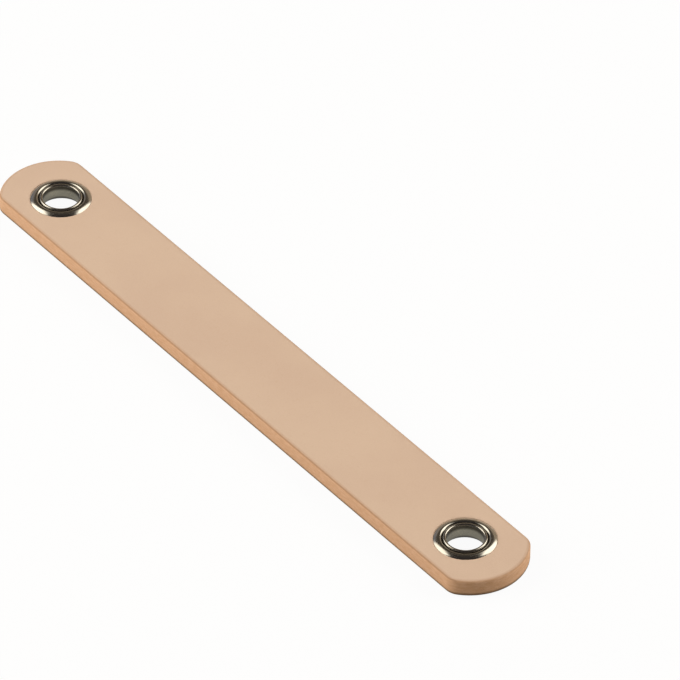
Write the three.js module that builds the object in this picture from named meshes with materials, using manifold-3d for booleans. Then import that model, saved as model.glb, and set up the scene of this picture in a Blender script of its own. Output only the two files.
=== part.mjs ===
// A flat leather strap handle with an eyelet at each end. Millimetres, +Z up.
// The strap lies along X on its two eyelets, and the origin is in the middle, at the surface it rests on.
import * as THREE from 'three';
import { mergeVertices } from 'three/addons/utils/BufferGeometryUtils.js';
import Module from 'manifold-3d';

// Leather strap
const HOLE_SPACING = 128;
const END_DISTANCE = 12.5; // from the middle of a hole to the tip of the strap
const WIDTH = 19;
const LEATHER = 3.6;
const END_BULGE = 5; // how far the curved end stands out past the square corners it replaces
const CORNER_RADIUS = 3.5; // between the long side and the curved end
const EDGE_ROUNDING = 0.5; // on every edge of the faces

// Eyelets, stamped from sheet metal
const BORE = 7.1;
const SHEET = 0.25;
const FLANGE_DIAMETER = 12.4;
const RIM_RADIUS = 0.5; // turned edge of the flange
const RIM_STEM = 0.1; // straight part between that turn and the leather
const WASHER_DIAMETER = 12;
const BEAD_HEIGHT = 0.6; // low dome of the washer
const BEAD_STEM = 0.05; // straight foot of that dome
const LIP_RADIUS = 0.35; // barrel end, rolled outwards
const LIP_STEM = 0.1; // straight part of the roll, down to the washer

// How the pieces meet
const PRESS = 0.3; // depth to which the metal is pressed into both faces
const DISH_REACH = 2; // how far the leather is drawn down round the metal
const BARREL_FIT = 0.3; // round the barrel, to the leather and the washer
const LIP_FIT = 0.1; // between the rolled lip and the washer's bead
const SEAT_FIT = 0.1; // between the edge of the metal and the dished leather

const ROUND_STEPS = 36; // facets round an eyelet
const FACET = 0.26; // length of a facet along a curve of a section, about
const DISH_STEPS = 5; // facets of the dished leather, from the metal out
const EDGE_STEPS = 3; // facets of a rounded edge of the leather
const OUTLINE_STEPS = 6; // facets of half an arc of the outline
const CUT_MARGIN = 1; // how far a cut runs past the leather

// Heights, from the surface up
const BACK_SEAT = RIM_RADIUS + RIM_STEM;
const BACK = BACK_SEAT - PRESS;
const FACE = BACK + LEATHER;
const FACE_SEAT = FACE - PRESS;
const WEB_TOP = FACE_SEAT + SHEET;
const LIP_CENTRE = WEB_TOP + LIP_STEM;
const BEAD_CENTRE = FACE_SEAT + BEAD_STEM;

const LENGTH = HOLE_SPACING + 2 * END_DISTANCE;

// Radii, from the eyelet's axis out
const INSIDE = BORE / 2;
const OUTSIDE = INSIDE + SHEET;
const HOLE = OUTSIDE + BARREL_FIT;
const LIP_AXIS = INSIDE + LIP_RADIUS;
const BEAD_INSIDE = INSIDE + 2 * LIP_RADIUS + LIP_FIT;
const BEAD_OUTSIDE = WASHER_DIAMETER / 2;
const BEAD_REACH = (BEAD_OUTSIDE - BEAD_INSIDE) / 2;
const BEAD_AXIS = BEAD_INSIDE + BEAD_REACH;
const RIM_AXIS = FLANGE_DIAMETER / 2 - RIM_RADIUS;
const FLARE = RIM_AXIS - INSIDE; // radius of the trumpet between barrel and flange

const wasm = await Module();
wasm.setup();

const leatherMaterial = new THREE.MeshStandardMaterial({ color: 0xd4b599, roughness: 0.6, metalness: 0 });
const nickelMaterial = new THREE.MeshStandardMaterial({ color: 0xc8c5bf, roughness: 0.12, metalness: 1 });

const point = (r, z) => new THREE.Vector2(r, z);

// An arc of a section, from one angle to another in degrees. It has an even number of facets, and so a half
// turn has a corner on its crown.
function arc(r, z, radius, from, to) {
  const start = THREE.MathUtils.degToRad(from);
  const sweep = THREE.MathUtils.degToRad(to - from);
  const steps = 2 * Math.max(2, Math.round((radius * Math.abs(sweep)) / FACET / 2));
  return Array.from({ length: steps + 1 }, (_, i) => {
    const angle = start + (sweep * i) / steps;
    return point(r + radius * Math.cos(angle), z + radius * Math.sin(angle));
  });
}

// One shared vertex where facets meet, which a closed solid needs
function welded(geometry) {
  geometry.deleteAttribute('normal');
  geometry.deleteAttribute('uv');
  return mergeVertices(geometry);
}

// A section turned about the Z axis
function turned(section) {
  return welded(new THREE.LatheGeometry(section, ROUND_STEPS).rotateX(Math.PI / 2));
}

// The section of a ring of sheet metal goes round once and ends where it starts
function turnedRing(section) {
  return turned([...section, section[0]]);
}

function toSolid(geometry) {
  return new wasm.Manifold(
    new wasm.Mesh({
      numProp: 3,
      vertProperties: geometry.attributes.position.array,
      triVerts: new Uint32Array(geometry.index.array),
    }),
  );
}

function toGeometry(solid) {
  const mesh = solid.getMesh();
  const geometry = new THREE.BufferGeometry();
  geometry.setAttribute('position', new THREE.BufferAttribute(mesh.vertProperties, 3));
  geometry.setIndex(new THREE.BufferAttribute(mesh.triVerts, 1));
  return geometry;
}

function named(name, geometry, material) {
  geometry.computeVertexNormals();
  const mesh = new THREE.Mesh(geometry, material);
  mesh.name = name;
  return mesh;
}

// Plan of the strap: straight sides, small corners and a shallow arc at each end
function strapOutline() {
  const half = WIDTH / 2;
  const endRadius = (half ** 2 + END_BULGE ** 2) / (2 * END_BULGE);
  const endX = LENGTH / 2 - endRadius;
  const cornerY = half - CORNER_RADIUS;
  const cornerX = endX + Math.sqrt((endRadius - CORNER_RADIUS) ** 2 - cornerY ** 2);
  const turn = Math.atan2(cornerY, cornerX - endX);
  const quarter = Math.PI / 2;
  const outline = new THREE.Shape();
  outline.moveTo(cornerX, -half);
  outline.absarc(cornerX, -cornerY, CORNER_RADIUS, -quarter, -turn);
  outline.absarc(endX, 0, endRadius, -turn, turn);
  outline.absarc(cornerX, cornerY, CORNER_RADIUS, turn, quarter);
  outline.lineTo(-cornerX, half);
  outline.absarc(-cornerX, cornerY, CORNER_RADIUS, quarter, 2 * quarter - turn);
  outline.absarc(-endX, 0, endRadius, 2 * quarter - turn, 2 * quarter + turn);
  outline.absarc(-cornerX, -cornerY, CORNER_RADIUS, 2 * quarter + turn, 3 * quarter);
  outline.closePath();
  return outline;
}

// From the edge of the metal out to the face. The end rises just past the face, so that the cut ends cleanly.
function dish(edge, seat, face) {
  const depth = face - seat;
  const start = edge + SEAT_FIT;
  return new THREE.QuadraticBezierCurve(
    point(start, seat),
    point(start + DISH_REACH / 2, face),
    point(start + DISH_REACH, face + depth / 4),
  ).getPoints(DISH_STEPS);
}

// What the eyelet displaces: both dished seats, the hole, and the room for the flare
function eyeletRoom() {
  const backDish = dish(FLANGE_DIAMETER / 2, BACK_SEAT, BACK).reverse();
  const faceDish = dish(BEAD_OUTSIDE, FACE_SEAT, FACE);
  return toSolid(
    turned([
      point(0, BACK - CUT_MARGIN),
      point(backDish[0].x, BACK - CUT_MARGIN),
      ...backDish,
      ...arc(RIM_AXIS, BACK_SEAT + RIM_AXIS - HOLE, RIM_AXIS - HOLE, 270, 180),
      point(HOLE, FACE_SEAT),
      ...faceDish,
      point(faceDish.at(-1).x, FACE + CUT_MARGIN),
      point(0, FACE + CUT_MARGIN),
    ]),
  );
}

function leatherStrap() {
  const blank = new THREE.ExtrudeGeometry(strapOutline(), {
    depth: LEATHER - 2 * EDGE_ROUNDING,
    bevelThickness: EDGE_ROUNDING,
    bevelSize: EDGE_ROUNDING,
    bevelOffset: -EDGE_ROUNDING,
    bevelSegments: EDGE_STEPS,
    curveSegments: OUTLINE_STEPS,
  });
  blank.translate(0, 0, BACK + EDGE_ROUNDING);
  const room = eyeletRoom();
  const holed = [-1, 1].reduce(
    (solid, side) => solid.subtract(room.translate([(side * HOLE_SPACING) / 2, 0, 0])),
    toSolid(welded(blank)),
  );
  return toGeometry(holed);
}

// One drawn piece: trumpet flange against the back, barrel, and the end rolled over the washer
function barrelSection() {
  return [
    point(LIP_AXIS + LIP_RADIUS, WEB_TOP),
    ...arc(LIP_AXIS, LIP_CENTRE, LIP_RADIUS, 0, 180),
    ...arc(RIM_AXIS, FLARE, FLARE, 180, 270),
    ...arc(RIM_AXIS, RIM_RADIUS, RIM_RADIUS, 270, 360).slice(1),
    point(RIM_AXIS + RIM_RADIUS, BACK_SEAT),
    point(RIM_AXIS + RIM_RADIUS - SHEET, BACK_SEAT),
    ...arc(RIM_AXIS, RIM_RADIUS, RIM_RADIUS - SHEET, 360, 270),
    ...arc(RIM_AXIS, FLARE, FLARE - SHEET, 270, 180).slice(1),
    ...arc(LIP_AXIS, LIP_CENTRE, LIP_RADIUS - SHEET, 180, 0),
    point(LIP_AXIS + LIP_RADIUS - SHEET, WEB_TOP),
  ];
}

// An arc squeezed to another height over the same centre
function dome(r, z, reach, height, from, to) {
  return arc(r, 0, reach, from, to).map((p) => point(p.x, z + (p.y * height) / reach));
}

// A low dome outside, hollow below, and a flat web inside that the lip holds down
function washerSection() {
  const hollow = BEAD_REACH - SHEET;
  const join = 180 - THREE.MathUtils.radToDeg(Math.asin((WEB_TOP - BEAD_CENTRE) / BEAD_HEIGHT));
  return [
    point(HOLE, WEB_TOP),
    point(HOLE, FACE_SEAT),
    point(BEAD_AXIS - hollow, FACE_SEAT),
    ...dome(BEAD_AXIS, BEAD_CENTRE, hollow, BEAD_HEIGHT - SHEET, 180, 0),
    point(BEAD_AXIS + hollow, FACE_SEAT),
    point(BEAD_OUTSIDE, FACE_SEAT),
    ...dome(BEAD_AXIS, BEAD_CENTRE, BEAD_REACH, BEAD_HEIGHT, 0, join),
  ];
}

function eyelet(side) {
  const pair = new THREE.Group();
  pair.add(named(`eyelet_barrel_${side}`, turnedRing(barrelSection()), nickelMaterial));
  pair.add(named(`eyelet_washer_${side}`, turnedRing(washerSection()), nickelMaterial));
  return pair;
}

const handle = new THREE.Group();
handle.add(named('leather_strap', leatherStrap(), leatherMaterial));
const leftEyelet = eyelet('left');
leftEyelet.position.x = -HOLE_SPACING / 2;
const rightEyelet = eyelet('right');
rightEyelet.position.x = HOLE_SPACING / 2;
handle.add(leftEyelet, rightEyelet);

export default handle;
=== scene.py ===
"""A flat leather strap handle with an eyelet at each end, dressed for the picture."""
import math

import bmesh
import bpy
from mathutils import Matrix, Vector


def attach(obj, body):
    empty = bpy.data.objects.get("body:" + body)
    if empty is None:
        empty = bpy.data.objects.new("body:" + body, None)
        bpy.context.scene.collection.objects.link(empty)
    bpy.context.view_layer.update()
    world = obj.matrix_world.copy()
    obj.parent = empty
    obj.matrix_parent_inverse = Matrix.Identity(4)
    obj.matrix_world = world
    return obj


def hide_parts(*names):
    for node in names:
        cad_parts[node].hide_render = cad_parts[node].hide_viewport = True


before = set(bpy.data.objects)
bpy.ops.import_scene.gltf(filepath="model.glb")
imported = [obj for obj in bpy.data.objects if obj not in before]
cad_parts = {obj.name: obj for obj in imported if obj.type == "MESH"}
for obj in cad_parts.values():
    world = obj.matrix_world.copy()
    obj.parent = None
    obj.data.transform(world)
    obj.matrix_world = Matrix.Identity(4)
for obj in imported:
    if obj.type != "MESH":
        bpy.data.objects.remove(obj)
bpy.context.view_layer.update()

# The strap, in millimetres
MM = 0.001
HOLE_X = 64
END_DISTANCE = 12.5
HALF_WIDTH = 9.5
END_BULGE = 5
CORNER_RADIUS = 3.5
EDGE_ROUNDING = 0.5
FACE = 3.9
BACK = 0.3
LEATHER_HOLE = 4.1
LEATHER_FLARE = 2.2  # height at which the hole starts to widen for the flange
PATCH_X = 50  # the rings round a hole end here, and the plain middle of the strap begins
# Radius and height of the face where it swells beside the ring and turns down under it
FACE_ROLL = [(7.8, 3.9), (7.4, 3.904), (7.1, 3.914), (6.85, 3.928), (6.65, 3.938), (6.5, 3.942),
             (6.35, 3.938), (6.22, 3.925), (6.12, 3.9), (6.06, 3.865), (6.02, 3.81), (6.02, 3.6)]
BACK_DISH = (6.25, 8.0)  # radii between which the back is drawn in to the flange
DISH_SHOULDER = 1.6

# The eyelets: radii from their axis, and heights
SHEET = 0.25
BACK_SEAT = 0.6
FACE_SEAT = 3.6
WEB_TOP = 3.85
WASHER_HOLE = 4.1
BEAD_INSIDE = 4.36
BEAD_CROWN = 4.88
BEAD_OUTSIDE = 6.0
BEAD_TOP = 4.25
BEAD_OUTER_DROP = 0.43
LIP_AXIS = 3.9
LIP_CENTRE = 3.95
LIP_RADIUS = 0.35
RIM_AXIS = 5.7
RIM_RADIUS = 0.5
FLARE = 2.15

# Facets
SIDE_STEPS = 30
CORNER_STEPS = 14
END_STEPS = 40
ACROSS_STEPS = 18
MIDDLE_STEPS = 40
ROUNDING_STEPS = 7
EDGE_STEPS = 6
DISH_STEPS = 12
HOLLOW_STEPS = 10
DOME_STEPS = 24
TURN_STEPS = 144
FLAT_SHARES = (0.33, 0.66, 1.0)  # rings on a flat side, from a hole's outermost row to the rim
WELD = 0.002  # places closer than this, in millimetres, become one
METAL_WELD = 0.001
SHARP_ANGLE = 50

# Heights, radii and distances in millimetres over which a tone or a painted shade comes in
FOOT_PAINTED_SHADOW = (1.35, 0.65)
LONG_SIDE = (8.4, 8.9)
BORDER_SHADE = (0.8, 0.5)
LIP_UNDERSIDE = (4.12, 3.92)
CREASE_INSIDE = (4.16, 4.27)
CREASE_OUTSIDE = (4.56, 4.4)
BORE_REACH = (5.0, 4.4)
# Painted shade and painted light in the bore, by height
BORE_PAINTED_SHADE_REACH = (0.5, 1.3)
BORE_PAINTED_LIGHT_HEIGHT = 2.3

# Marks in a metre, and how deep they are in millimetres
CLOUDS = 55.0
FRECKLES = 900.0
CREASES = 2100.0
PORES = 2600.0
PUCKERS = 700.0
STRANDS = (620.0, 620.0, 3300.0)
FIBRES = (1500.0, 1500.0, 5200.0)
NAP = (900.0, 2300.0, 2300.0)
TUFTS = 420.0
LEATHER_DEPTH = 0.06
TURNING_LINES = 5200.0
SMUDGES = 380.0
WAVES = 620.0
METAL_DEPTH = 0.006

# The camera and the studio, in metres and degrees
VIEW_AZIMUTH = 52.1065
VIEW_ELEVATION = 39.1293
VIEW_ROLL = 0.649
VIEW_AIM = Vector((3.68, 16.92, 3.9)) * MM
VIEW_DISTANCE = 1.5
LENS = 414.8
STUDIO_AZIMUTH = 52.1
FLOOR_RADIUS = 1.6
FLOOR_GLOW = 1.03
SHELL_RADIUS = 1.35
NEAR_SHADOW = 0.006  # reflections of what is nearer keep most of its shadow


def arc(r, z, radius, start, end, steps):
    """Points of an arc of a section, between two angles in degrees."""
    angles = [math.radians(start + (end - start) * i / steps) for i in range(steps + 1)]
    return [(r + radius * math.cos(a), z + radius * math.sin(a)) for a in angles]


def line(start, end, steps):
    return [tuple(a + (b - a) * i / steps for a, b in zip(start, end)) for i in range(steps + 1)]


def linear(red, green, blue):
    """A colour from 0 to 255 as it is seen, for a shader."""
    parts = [c / 255 for c in (red, green, blue)]
    return tuple(c / 12.92 if c <= 0.04045 else ((c + 0.055) / 1.055) ** 2.4 for c in parts) + (1.0,)


# Leather
GRAIN = linear(206, 176, 151)
GRAIN_PALE = linear(210, 181, 155)
FRECKLE = linear(198, 164, 135)
PORE = linear(188, 150, 118)
CUT_EDGE = linear(206, 160, 121)
CUT_EDGE_PALE = linear(218, 175, 140)
CUT_FIBRE = linear(180, 132, 94)
# Painted contact shadow along the foot of the cut edge
CUT_FOOT_PAINTED_SHADOW = linear(128, 104, 80)
CORNER = linear(177, 135, 101)
BORDER = linear(188, 150, 119)
FLESH = linear(188, 154, 122)
FLESH_PALE = linear(218, 190, 161)
TUFT = linear(196, 164, 134)

# Nickel
PLATE = linear(212, 208, 200)
PLATE_SMUDGED = linear(202, 196, 186)
# Painted light and painted shade in the bore
BORE_PAINTED_LIGHT = linear(204, 200, 182)
BORE_PAINTED_SHADE = linear(78, 72, 58)
# Painted shade in the crease under the lip
CREASE_PAINTED_SHADE = linear(64, 56, 46)

# Studio
WHITE = linear(255, 255, 255)
ROOM_LIGHT = linear(255, 246, 231)
FLOOR = linear(190, 184, 173)
# Painted reflections: colours of a glowing shell that only the metal mirrors, with painted highlights in
# place of the lamps
PAINTED_REFLECTION_FRONT = linear(52, 48, 47)
PAINTED_REFLECTION_BEHIND = linear(78, 71, 62)
PAINTED_REFLECTION_LOW = linear(160, 144, 124)
PAINTED_REFLECTION_LOW_LEFT = linear(122, 122, 127)
CARD_PAINTED_HIGHLIGHT = linear(255, 249, 234)


class Value:
    """One output of a node in a recipe. Sums on it add Math nodes."""

    def __init__(self, recipe, socket):
        self.recipe = recipe
        self.socket = socket

    def math(self, operation, *values):
        inputs = dict(enumerate(values))
        return self.recipe.add("ShaderNodeMath", {"operation": operation}, inputs)

    def __add__(self, other):
        return self.math("ADD", self, other)

    def __radd__(self, other):
        return self.math("ADD", other, self)

    def __sub__(self, other):
        return self.math("SUBTRACT", self, other)

    def __rsub__(self, other):
        return self.math("SUBTRACT", other, self)

    def __mul__(self, other):
        return self.math("MULTIPLY", self, other)

    def __rmul__(self, other):
        return self.math("MULTIPLY", other, self)

    def __truediv__(self, other):
        return self.math("DIVIDE", self, other)

    def __pow__(self, other):
        return self.math("POWER", self, other)

    def __abs__(self):
        return self.math("ABSOLUTE", self)

    def at_least(self, other):
        return self.math("MAXIMUM", self, other)

    def at_most(self, other):
        return self.math("MINIMUM", self, other)


class Recipe:
    """The node tree of a material or of the world."""

    def __init__(self, owner):
        owner.use_nodes = True
        self.tree = owner.node_tree
        self.tree.nodes.clear()

    def add(self, kind, settings=None, inputs=None, output=0):
        """A node with its settings first, then the values or links of its sockets."""
        node = self.tree.nodes.new(kind)
        for key, setting in (settings or {}).items():
            setattr(node, key, setting)
        for key, given in (inputs or {}).items():
            socket = self.find(node.inputs, key)
            if isinstance(given, Value):
                self.tree.links.new(given.socket, socket)
            else:
                socket.default_value = given
        return Value(self, self.find(node.outputs, output) if node.outputs else None)

    def find(self, sockets, key):
        if isinstance(key, int):
            return sockets[key]
        return next(s for s in sockets if key in (s.identifier, s.name))

    def spread(self, value, low, high):
        """0 below low, 1 above high, smooth between them. High may be the lower one."""
        settings = {"interpolation_type": "SMOOTHSTEP"}
        bottom, top = sorted((low, high))
        inputs = {"Value": value, "From Min": bottom, "From Max": top}
        rising = self.add("ShaderNodeMapRange", settings, inputs)
        return 1 - rising if high < low else rising

    def spread_mm(self, value, low, high):
        """The same for a length, between two lengths in millimetres."""
        return self.spread(value, low * MM, high * MM)

    def blend(self, factor, first, second):
        inputs = {"Factor_Float": factor, "A_Color": first, "B_Color": second}
        return self.add("ShaderNodeMix", {"data_type": "RGBA"}, inputs, "Result_Color")

    def noise(self, place, scale, detail=2.0, roughness=0.5):
        inputs = {"Vector": place, "Scale": scale, "Detail": detail, "Roughness": roughness}
        return self.add("ShaderNodeTexNoise", {}, inputs)

    def drawn_noise(self, place, scales, detail, roughness):
        """Noise with a scale for each direction."""
        drawn = self.add("ShaderNodeMapping", {}, {"Vector": place, "Scale": scales})
        return self.noise(drawn, 1.0, detail, roughness)

    def bump(self, height, depth, strength):
        inputs = {"Height": height, "Distance": depth * MM, "Strength": strength}
        return self.add("ShaderNodeBump", {}, inputs)

    def place(self):
        """Where a point is on the part."""
        return self.add("ShaderNodeTexCoord", output="Object")

    def along(self, place, axis):
        return self.add("ShaderNodeSeparateXYZ", {}, {"Vector": place}, axis)

    def dot(self, first, second):
        settings = {"operation": "DOT_PRODUCT"}
        return self.add("ShaderNodeVectorMath", settings, {0: first, 1: second}, "Value")

    def attribute(self, name):
        return self.add("ShaderNodeAttribute", {"attribute_name": name}, output="Fac")

    def light_path(self, name):
        return self.add("ShaderNodeLightPath", output=name)


def new_material(name):
    material = bpy.data.materials.new(name)
    return material, Recipe(material)


def finish_surface(recipe, inputs):
    surface = recipe.add("ShaderNodeBsdfPrincipled", {}, inputs)
    recipe.add("ShaderNodeOutputMaterial", {}, {"Surface": surface})


def end_arc():
    """Radius of the strap's curved end, and where its centre lies along the strap."""
    radius = (HALF_WIDTH ** 2 + END_BULGE ** 2) / (2 * END_BULGE)
    return radius, HOLE_X + END_DISTANCE - radius


def to_border(recipe, place):
    """Distance from the strap's outline, with its small corners taken as sharp."""
    end_radius, end_x = end_arc()
    aside = abs(recipe.along(place, "Y"))
    past = (abs(recipe.along(place, "X")) - end_x * MM).at_least(0.0)
    to_end = end_radius * MM - (((past * past) + (aside * aside)) ** 0.5)
    to_side = HALF_WIDTH * MM - aside
    return to_side.at_most(to_end)


def leather_material():
    """Undyed leather: smooth grain on the face, plain cut edges, nap on the back."""
    material, r = new_material("vegetable_tanned_leather")
    place = r.place()
    reach = r.attribute("cut")
    flesh = r.attribute("flesh")
    cut = r.spread(reach, 0.35, 0.8)

    cloud = r.noise(place, CLOUDS, 3.0)
    freckle = r.noise(place, FRECKLES, 4.0, 0.6)
    to_crease = r.add("ShaderNodeTexVoronoi", {"feature": "DISTANCE_TO_EDGE"},
                      {"Vector": place, "Scale": CREASES})
    crease = r.spread(to_crease, 0.14, 0.0)
    pore = r.spread(r.noise(place, PORES), 0.66, 0.8)
    grain_colour = r.blend(r.spread(cloud, 0.3, 0.7), GRAIN, GRAIN_PALE)
    grain_colour = r.blend(r.spread(freckle, 0.55, 0.85) * 0.25, grain_colour, FRECKLE)
    grain_colour = r.blend((crease * 0.08) + (pore * 0.2), grain_colour, PORE)

    strand = r.drawn_noise(place, STRANDS, 4.0, 0.65)
    fibre = r.drawn_noise(place, FIBRES, 3.0, 0.6)
    edge_colour = r.blend(r.spread(strand, 0.32, 0.7), CUT_EDGE, CUT_EDGE_PALE)
    edge_colour = r.blend(r.spread(fibre, 0.5, 0.8) * 0.3, edge_colour, CUT_FIBRE)
    # Painted contact shadow: the cut edge darkens towards its foot
    foot = r.spread_mm(r.along(place, "Z"), *FOOT_PAINTED_SHADOW)
    edge_colour = r.blend(foot, edge_colour, CUT_FOOT_PAINTED_SHADOW)

    nap = r.drawn_noise(place, NAP, 5.0, 0.7)
    tuft = r.noise(place, TUFTS, 3.0, 0.6)
    flesh_colour = r.blend(r.spread(nap, 0.35, 0.7), FLESH, FLESH_PALE)
    flesh_colour = r.blend(r.spread(tuft, 0.45, 0.75) * 0.4, flesh_colour, TUFT)

    colour = r.blend(flesh, grain_colour, flesh_colour)
    colour = r.blend(cut, colour, edge_colour)
    corner = r.spread(reach, 0.2, 0.6) * r.spread(reach, 0.97, 0.75)
    long_side = r.spread_mm(abs(r.along(place, "Y")), *LONG_SIDE)
    colour = r.blend(corner * ((long_side * 0.55) + 0.4), colour, CORNER)
    border = r.spread_mm(to_border(r, place), *BORDER_SHADE) * (1 - cut) * (1 - flesh)
    colour = r.blend(border * 0.4, colour, BORDER)

    pucker = r.noise(place, PUCKERS)
    grain_height = 0.5 - (crease * 0.28) - (pore * 0.2) + (pucker * 0.35)
    face_height = (grain_height * 0.35 * (1 - flesh)) + (flesh * nap * 1.6)
    surface_height = (face_height * (1 - cut)) + (cut * ((strand * 0.9) + (fibre * 0.5)))
    finish_surface(r, {
        "Base Color": colour,
        "Roughness": 0.5 + (freckle * 0.12) + (flesh * 0.28) + (cut * 0.18),
        "IOR": 1.42,
        "Normal": r.bump(surface_height, LEATHER_DEPTH, 0.8),
    })
    return material


def nickel_material():
    """Polished nickel plate: faint turning lines, a few smudges, dull with painted shade in the crease
    under the lip, and painted shade and light in the bore.
    """
    material, r = new_material("polished_nickel")
    place = r.place()
    x = abs(r.along(place, "X")) - HOLE_X * MM
    y = r.along(place, "Y")
    z = r.along(place, "Z")
    radius = ((x * x) + (y * y)) ** 0.5
    around = r.add("ShaderNodeCombineXYZ", {},
                   {"X": (x / radius) * 2.2, "Y": (y / radius) * 2.2, "Z": (radius + z) * TURNING_LINES})
    line_marks = r.noise(around, 1.0, 3.0, 0.6)
    smudge = r.noise(place, SMUDGES, 3.0, 0.55)
    wave = r.noise(place, WAVES, 1.0)

    low = r.spread_mm(z, *LIP_UNDERSIDE)
    crease = r.spread_mm(radius, *CREASE_INSIDE) * r.spread_mm(radius, *CREASE_OUTSIDE) * low
    bore = r.spread_mm(radius, *BORE_REACH) * low
    # Painted shade under the lip and low in the bore, and a painted pale reflection at mid height; the
    # bore is also rougher
    bore_painted_shade = r.spread_mm(abs(z - BORE_PAINTED_LIGHT_HEIGHT * MM), *BORE_PAINTED_SHADE_REACH)
    colour = r.blend(r.spread(smudge, 0.35, 0.75), PLATE, PLATE_SMUDGED)
    colour = r.blend(bore * 0.92, colour, r.blend(bore_painted_shade, BORE_PAINTED_LIGHT, BORE_PAINTED_SHADE))
    # Painted shade: darker in the crease under the lip, where the metal is also rougher
    colour = r.blend(crease * 0.85, colour, CREASE_PAINTED_SHADE)
    dull = (r.spread(smudge, 0.4, 0.8) * 0.04) + (line_marks * 0.03) + (crease * 0.3) + (bore * 0.1)
    finish_surface(r, {
        "Base Color": colour,
        "Metallic": 1.0,
        "Roughness": 0.14 + dull,
        "Normal": r.bump(wave + (line_marks * 0.02), METAL_DEPTH, 0.4),
    })
    return material


def place_piece(piece, node):
    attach(piece, "root")
    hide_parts(node)


def strap_end():
    """Rim of the right-hand end patch, anticlockwise: places on the outline, with the way outwards."""
    end_radius, end_x = end_arc()
    corner_y = HALF_WIDTH - CORNER_RADIUS
    corner_x = end_x + math.sqrt((end_radius - CORNER_RADIUS) ** 2 - corner_y ** 2)
    turn = math.degrees(math.atan2(corner_y, corner_x - end_x))
    side = [x for x, _ in line((PATCH_X, 0), (corner_x, 0), SIDE_STEPS)]
    rim = [(x, -HALF_WIDTH, 0.0, -1.0) for x in side[:-1]]
    arcs = [(corner_x, -corner_y, CORNER_RADIUS, -90, -turn, CORNER_STEPS),
            (end_x, 0, end_radius, -turn, turn, END_STEPS),
            (corner_x, corner_y, CORNER_RADIUS, turn, 90, CORNER_STEPS)]
    for x, y, radius, start, end, steps in arcs:
        for px, py in arc(x, y, radius, start, end, steps)[:-1]:
            rim.append((px, py, (px - x) / radius, (py - y) / radius))
    return rim + [(x, HALF_WIDTH, 0.0, 1.0) for x in side[::-1]]


def edge_rows():
    """Rows round the edge, from face to back: reach outwards, height, cut edge, flesh side."""
    r = EDGE_ROUNDING
    rows = [(px, pz, px / r, 0.0) for px, pz in arc(0, FACE - r, r, 90, 0, ROUNDING_STEPS)]
    rows += [(r, z, 1.0, 0.0) for _, z in line((0, FACE - r), (0, BACK + r), EDGE_STEPS)[1:-1]]
    rows += [(px, pz, px / r, 1.0) for px, pz in arc(0, BACK + r, r, 0, -90, ROUNDING_STEPS)]
    return rows


def back_dish():
    """Leather drawn in to the flange, with a soft shoulder where the flat back begins."""
    near, far = BACK_DISH
    points = []
    for i in range(DISH_STEPS + 1):
        u = i / DISH_STEPS
        height = BACK + (BACK_SEAT - BACK) * (1 - u) ** 2 * (1 + DISH_SHOULDER * u)
        points.append((near + (far - near) * u, height))
    return points


def hole_rows():
    """Rows from the face down through the hole to the back: radius, height, cut edge, flesh side."""
    top = FACE_ROLL + line(FACE_ROLL[-1], (LEATHER_HOLE, FACE_SEAT), 3)[1:]
    wall = line((LEATHER_HOLE, FACE_SEAT), (LEATHER_HOLE, LEATHER_FLARE), 4)[1:]
    flare = arc(RIM_AXIS, LEATHER_FLARE, RIM_AXIS - LEATHER_HOLE, 180, 270, 8)[1:]
    back = [(BACK_DISH[0], BACK_SEAT)] + back_dish()[1:]
    rows = [(r, z, 0.0, 0.0) for r, z in top]
    rows += [(r, z, 1.0, 0.0) for r, z in wall + flare]
    rows += [(r, z, 0.0, 1.0) for r, z in back]
    return rows


class Hide:
    """The strap's mesh while it is put together. Each place has its cut edge and flesh side after it."""

    def __init__(self):
        self.mesh = bmesh.new()
        self.cut = self.mesh.verts.layers.float.new("cut")
        self.flesh = self.mesh.verts.layers.float.new("flesh")

    def vertex(self, x, y, z, cut, flesh):
        vertex = self.mesh.verts.new((x * MM, y * MM, z * MM))
        vertex[self.cut] = cut
        vertex[self.flesh] = flesh
        return vertex

    def skin(self, rows, closed):
        """Quads between rows of the same length."""
        verts = [[self.vertex(*values) for values in row] for row in rows]
        for above, below in zip(verts, verts[1:]):
            count = len(above)
            for i in range(count if closed else count - 1):
                j = (i + 1) % count
                self.mesh.faces.new((above[i], above[j], below[j], below[i]))

    def finish(self, material):
        """The strap as an object, with its skins joined."""
        bmesh.ops.remove_doubles(self.mesh, verts=self.mesh.verts, dist=WELD * MM)
        bmesh.ops.recalc_face_normals(self.mesh, faces=self.mesh.faces)
        for face in self.mesh.faces:
            face.smooth = True
        mesh = bpy.data.meshes.new("leather")
        self.mesh.to_mesh(mesh)
        self.mesh.free()
        mesh.materials.append(material)
        strap = bpy.data.objects.new("leather", mesh)
        bpy.context.scene.collection.objects.link(strap)
        return strap


def hole_loops(ring):
    """Loops from the rim of the face through the hole to the rim of the back, for the right-hand end."""
    holes = hole_rows()
    spokes = []
    for x, y in ring:
        reach = math.hypot(x - HOLE_X, y)
        spokes.append(((x - HOLE_X) / reach, y / reach, reach))

    def flat_loop(start, share, height, flesh):
        loop = []
        for ux, uy, reach in spokes:
            radius = start + (reach - start) * share
            loop.append((HOLE_X + ux * radius, uy * radius, height, 0.0, flesh))
        return loop

    loops = [flat_loop(holes[0][0], share, FACE, 0.0) for share in FLAT_SHARES[::-1]]
    for radius, z, cut, flesh in holes:
        loops.append([(HOLE_X + ux * radius, uy * radius, z, cut, flesh) for ux, uy, _ in spokes])
    return loops + [flat_loop(holes[-1][0], share, BACK, 1.0) for share in FLAT_SHARES]


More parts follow.
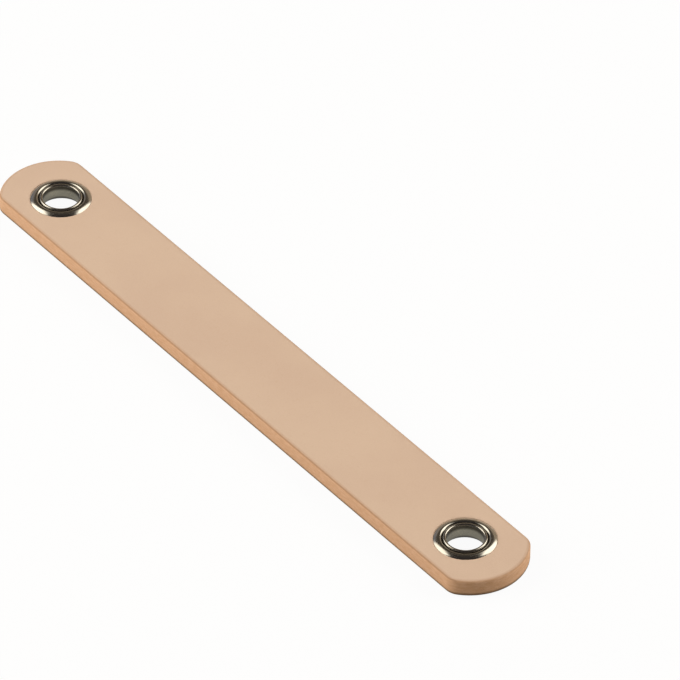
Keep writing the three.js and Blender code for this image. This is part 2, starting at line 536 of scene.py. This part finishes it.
def middle_loop(ys, edge):
    """Once round the strap's plain middle: along the face, the near edge, the back and the far edge."""
    top_y = ys[0]
    loop = [(y, FACE, 0.0, 0.0) for y in ys]
    loop += [(-top_y - out, z, cut, flesh) for out, z, cut, flesh in edge[1:]]
    loop += [(y, BACK, 0.0, 1.0) for y in ys[::-1][1:]]
    return loop + [(top_y + out, z, cut, flesh) for out, z, cut, flesh in edge[::-1][1:-1]]


def leather_strap(material):
    hide = Hide()
    rim = strap_end()
    edge = edge_rows()
    inner = [(x - nx * EDGE_ROUNDING, y - ny * EDGE_ROUNDING) for x, y, nx, ny in rim]
    top_y = inner[-1][1]
    ys = [y for _, y in line((0, top_y), (0, -top_y), ACROSS_STEPS)]
    loops = hole_loops(inner + [(PATCH_X, y) for y in ys[1:-1]])
    for side in (-1, 1):
        hide.skin([[(side * x, y, z, c, f) for x, y, z, c, f in loop] for loop in loops], True)
        wall = []
        for out, z, cut, flesh in edge:
            wall.append([(side * (x + nx * out), y + ny * out, z, cut, flesh)
                         for (x, y), (_, _, nx, ny) in zip(inner, rim)])
        hide.skin(wall, False)
    loop = middle_loop(ys, edge)
    columns = [x for x, _ in line((-PATCH_X, 0), (PATCH_X, 0), MIDDLE_STEPS)]
    hide.skin([[(x, y, z, c, f) for y, z, c, f in loop] for x in columns], True)
    return hide.finish(material)


def turning_tree():
    """Geometry Nodes that sweep a section round an eyelet's axis."""
    tree = bpy.data.node_groups.new("turned_metal", "GeometryNodeTree")
    sockets = {
        "Section": "NodeSocketGeometry",
        "Steps": "NodeSocketInt",
        "Turn Radius": "NodeSocketFloat",
        "Place": "NodeSocketVector",
        "Metal": "NodeSocketMaterial",
    }
    for name, kind in sockets.items():
        tree.interface.new_socket(name, in_out="INPUT", socket_type=kind)
    tree.interface.new_socket("Geometry", in_out="OUTPUT", socket_type="NodeSocketGeometry")

    def node(kind, inputs):
        made = tree.nodes.new(kind)
        for key, source in inputs.items():
            tree.links.new(source, made.inputs[key])
        return made.outputs[0] if made.outputs else None

    given = tree.nodes.new("NodeGroupInput").outputs
    circle = {"Resolution": given["Steps"], "Radius": given["Turn Radius"]}
    path = node("GeometryNodeCurvePrimitiveCircle", circle)
    section = node("GeometryNodeMeshToCurve", {"Mesh": given["Section"]})
    swept = node("GeometryNodeCurveToMesh", {"Curve": path, "Profile Curve": section})
    placed = node("GeometryNodeTransform", {"Geometry": swept, "Translation": given["Place"]})
    smooth = node("GeometryNodeSetShadeSmooth", {"Geometry": placed})
    real = node("GeometryNodeRealizeInstances", {"Geometry": smooth})
    dressed = node("GeometryNodeSetMaterial", {"Geometry": real, "Material": given["Metal"]})
    node("NodeGroupOutput", {"Geometry": dressed})
    return tree


def turned_piece(name, section, tree, place_x, metal):
    """A section of sheet metal turned about an eyelet's axis, as a plain mesh."""
    mesh = bpy.data.meshes.new(f"{name}_section")
    points = [((r - RIM_AXIS) * MM, -z * MM, 0.0) for r, z in section]
    mesh.from_pydata(points, [(i, (i + 1) % len(points)) for i in range(len(points))], [])
    source = bpy.data.objects.new(f"{name}_section", mesh)
    bpy.context.scene.collection.objects.link(source)
    modifier = source.modifiers.new("turning", "NODES")
    modifier.node_group = tree
    values = {
        "Steps": TURN_STEPS,
        "Turn Radius": RIM_AXIS * MM,
        "Place": (place_x * MM, 0.0, 0.0),
        "Metal": metal,
    }
    for item in tree.interface.items_tree:
        if item.in_out == "INPUT" and item.name in values:
            modifier[item.identifier] = values[item.name]
    evaluated = source.evaluated_get(bpy.context.evaluated_depsgraph_get())
    solid = bpy.data.meshes.new_from_object(evaluated)
    bpy.data.objects.remove(source)
    bpy.data.meshes.remove(mesh)
    work = bmesh.new()
    work.from_mesh(solid)
    bmesh.ops.remove_doubles(work, verts=work.verts, dist=METAL_WELD * MM)
    bmesh.ops.recalc_face_normals(work, faces=work.faces)
    work.to_mesh(solid)
    work.free()
    solid.set_sharp_from_angle(angle=math.radians(SHARP_ANGLE))
    solid.name = name
    piece = bpy.data.objects.new(name, solid)
    bpy.context.scene.collection.objects.link(piece)
    return piece


def barrel_section():
    """Rolled lip, barrel, trumpet flange and turned rim, drawn from one sheet."""
    outside = arc(LIP_AXIS, LIP_CENTRE, LIP_RADIUS, 0, 180, 20)
    outside += arc(RIM_AXIS, FLARE, FLARE, 180, 270, 26)
    outside += arc(RIM_AXIS, RIM_RADIUS, RIM_RADIUS, 270, 360, 10)[1:]
    inside = arc(RIM_AXIS, RIM_RADIUS, RIM_RADIUS - SHEET, 360, 270, 5)
    inside += arc(RIM_AXIS, FLARE, FLARE - SHEET, 270, 180, 22)[1:]
    inside += arc(LIP_AXIS, LIP_CENTRE, LIP_RADIUS - SHEET, 180, 0, 8)
    foot = [(LIP_AXIS + LIP_RADIUS - SHEET, WEB_TOP), (LIP_AXIS + LIP_RADIUS, WEB_TOP)]
    seat = [(RIM_AXIS + RIM_RADIUS, BACK_SEAT), (RIM_AXIS + RIM_RADIUS - SHEET, BACK_SEAT)]
    return outside + seat + inside + foot


def arch(inside, outside, top, inner_drop, outer_drop, steps):
    """A low arch with its crown at the bead's crown, from the inside out."""
    shares = [i / steps for i in range(steps + 1)]
    inner = [(BEAD_CROWN + (inside - BEAD_CROWN) * s, top - inner_drop * s ** 2) for s in shares[:0:-1]]
    outer = [(BEAD_CROWN + (outside - BEAD_CROWN) * s, top - outer_drop * s ** 2) for s in shares]
    return inner + outer


def washer_section():
    """A low dome outside, hollow below, and the flat web under the lip."""
    hollow_top = BEAD_TOP - SHEET
    drop = hollow_top - FACE_SEAT
    hollow = arch(BEAD_INSIDE + SHEET, BEAD_OUTSIDE - SHEET, hollow_top, drop, drop, HOLLOW_STEPS)
    dome = arch(BEAD_INSIDE, BEAD_OUTSIDE, BEAD_TOP, BEAD_TOP - WEB_TOP, BEAD_OUTER_DROP, DOME_STEPS)
    web = [(WASHER_HOLE, WEB_TOP), (WASHER_HOLE, FACE_SEAT)]
    return web + hollow + [(BEAD_OUTSIDE, FACE_SEAT)] + dome[::-1]


def place_camera():
    """The camera that took the picture. Back is the direction from what it aims at to the camera."""
    azimuth, elevation, roll = (math.radians(a) for a in (VIEW_AZIMUTH, VIEW_ELEVATION, VIEW_ROLL))
    back = Vector((math.sin(azimuth) * math.cos(elevation), -math.cos(azimuth) * math.cos(elevation),
                   math.sin(elevation)))
    level = Vector((math.cos(azimuth), math.sin(azimuth), 0.0))
    upright = back.cross(level)
    right = level * math.cos(roll) + upright * math.sin(roll)
    up = upright * math.cos(roll) - level * math.sin(roll)
    lens = bpy.data.cameras.new("camera")
    lens.lens = LENS
    lens.sensor_width = 36.0
    lens.clip_end = 20.0
    camera = bpy.data.objects.new("camera", lens)
    turn = Matrix((right, up, back)).transposed().to_4x4()
    camera.matrix_world = Matrix.Translation(VIEW_AIM + back * VIEW_DISTANCE) @ turn
    bpy.context.scene.collection.objects.link(camera)
    bpy.context.scene.camera = camera


def studio_point(right, away, up):
    """A place given from the camera's side of the table: to the right, away from it, and up."""
    azimuth = math.radians(STUDIO_AZIMUTH)
    return Vector((math.cos(azimuth) * right - math.sin(azimuth) * away,
                   math.sin(azimuth) * right + math.cos(azimuth) * away, up))


def lamp(name, place, width, height, watts):
    """A soft lamp that points at the part, and that the metal doesn't mirror."""
    light = bpy.data.lights.new(name, "AREA")
    light.shape = "RECTANGLE"
    light.size = width
    light.size_y = height
    light.energy = watts
    stand = bpy.data.objects.new(name, light)
    stand.location = place
    stand.rotation_euler = (-place).to_track_quat("-Z", "Y").to_euler()
    stand.visible_glossy = False
    bpy.context.scene.collection.objects.link(stand)


def seen_directly(recipe, clear=0.0):
    """1 for what the camera, a reflection or glass sees, 0 for light on a surface.

    Nearer than the clear distance, a reflection counts for a quarter."""
    sight = recipe.light_path("Is Camera Ray")
    gloss = recipe.light_path("Is Glossy Ray")
    glass = recipe.light_path("Is Transmission Ray")
    if clear:
        length = recipe.light_path("Ray Length")
        gloss = gloss * (recipe.spread(length, clear, clear * 3) * 0.75 + 0.25)
    return sight.at_least(gloss.at_least(glass))


def painted_highlight_card(recipe, place, middle, width, height):
    """1 in the middle of a painted highlight card and 0 beyond its soft edges, for a direction."""
    middle = middle.normalized()
    across = Vector((0, 0, 1)).cross(middle).normalized()
    masks = []
    for axis, reach in ((across, width), (middle.cross(across), height)):
        masks.append(recipe.spread(abs(recipe.dot(place, axis)), reach, reach * 0.6))
    return masks[0] * masks[1] * recipe.spread(recipe.dot(place, middle), 0.2, 0.5)


def add_backdrop():
    """A white room that lights the part softly."""
    world = bpy.data.worlds.new("studio")
    bpy.context.scene.world = world
    r = Recipe(world)
    seen = seen_directly(r)
    tint = r.blend(seen, ROOM_LIGHT, WHITE)
    backdrop = r.add("ShaderNodeBackground", {}, {"Color": tint, "Strength": (seen * 0.82) + 0.18})
    r.add("ShaderNodeOutputWorld", {}, {"Surface": backdrop})


def add_floor():
    mesh = bpy.data.meshes.new("floor")
    disc = bmesh.new()
    bmesh.ops.create_circle(disc, cap_ends=True, radius=FLOOR_RADIUS, segments=96)
    disc.to_mesh(mesh)
    disc.free()
    floor = bpy.data.objects.new("floor", mesh)
    bpy.context.scene.collection.objects.link(floor)
    material, r = new_material("pale_floor")
    matt = r.add("ShaderNodeBsdfDiffuse", {}, {"Color": FLOOR})
    glow = r.add("ShaderNodeEmission", {}, {"Color": WHITE, "Strength": FLOOR_GLOW})
    mixed = r.add("ShaderNodeMixShader", {}, {0: seen_directly(r, NEAR_SHADOW) * 0.92, 1: matt, 2: glow})
    r.add("ShaderNodeOutputMaterial", {}, {"Surface": mixed})
    mesh.materials.append(material)


def painted_reflection_material():
    """Painted reflections for the metal: a glowing shell painted as a dark wall, a paler low band and
    two bright cards, which are painted highlights in place of the lamps.
    """
    material, r = new_material("painted_reflection_shell")
    place = r.add("ShaderNodeVectorMath", {"operation": "NORMALIZE"}, {0: r.place()}, "Vector")
    aside = r.dot(place, studio_point(1, 0, 0))
    behind = r.dot(place, studio_point(0, 1, 0))
    height = r.along(place, "Z")
    wall = r.blend(r.spread(behind, -0.2, 0.7), PAINTED_REFLECTION_FRONT, PAINTED_REFLECTION_BEHIND)
    painted_low_band = r.blend(r.spread(aside, 0.0, -0.6), PAINTED_REFLECTION_LOW, PAINTED_REFLECTION_LOW_LEFT)
    reach = r.spread(height, 0.58, 0.44) * r.spread(behind, 0.1, 0.6)
    low = r.spread(height, 0.36, 0.2) * 0.8
    painted_reflection_colour = r.blend(reach.at_least(low), wall, painted_low_band)
    # Two painted highlights where the lamps would be mirrored
    left = painted_highlight_card(r, place, studio_point(-0.7, 0.26, 0.67), 0.4, 0.46)
    right = painted_highlight_card(r, place, studio_point(0.69, 0.33, 0.64), 0.4, 0.48)
    painted_highlights = left.at_least(right)
    painted_reflection_colour = r.blend(painted_highlights, painted_reflection_colour, CARD_PAINTED_HIGHLIGHT)
    glow = r.add("ShaderNodeEmission", {}, {"Color": painted_reflection_colour, "Strength": 1 + painted_highlights})
    r.add("ShaderNodeOutputMaterial", {}, {"Surface": glow})
    return material


def add_painted_reflection_shell():
    """A glowing shell over the table that only reflections see, which paints the metal's reflections and
    highlights.
    """
    mesh = bpy.data.meshes.new("painted_reflection_shell")
    shell = bmesh.new()
    bmesh.ops.create_uvsphere(shell, u_segments=48, v_segments=24, radius=SHELL_RADIUS)
    below = [v for v in shell.verts if v.co.z < -0.01]
    bmesh.ops.delete(shell, geom=below, context="VERTS")
    shell.to_mesh(mesh)
    shell.free()
    card = bpy.data.objects.new("painted_reflection_shell", mesh)
    bpy.context.scene.collection.objects.link(card)
    mesh.materials.append(painted_reflection_material())
    card.visible_camera = False
    card.visible_diffuse = False
    card.visible_shadow = False
    card.visible_transmission = False


def studio():
    add_backdrop()
    add_floor()
    add_painted_reflection_shell()
    lamp("key_left", studio_point(-0.72, 0.0, 0.46), 0.7, 0.7, 8.5)
    lamp("fill_right", studio_point(0.68, 0.08, 0.38), 0.5, 0.5, 5.2)


bpy.context.scene.view_settings.view_transform = "Standard"
place_camera()
studio()

leather = leather_material()
nickel = nickel_material()
place_piece(leather_strap(leather), "leather_strap")
turning = turning_tree()
for side, place_x in (("left", -HOLE_X), ("right", HOLE_X)):
    barrel = turned_piece(f"barrel_{side}", barrel_section(), turning, place_x, nickel)
    place_piece(barrel, f"eyelet_barrel_{side}")
    washer = turned_piece(f"washer_{side}", washer_section(), turning, place_x, nickel)
    place_piece(washer, f"eyelet_washer_{side}")
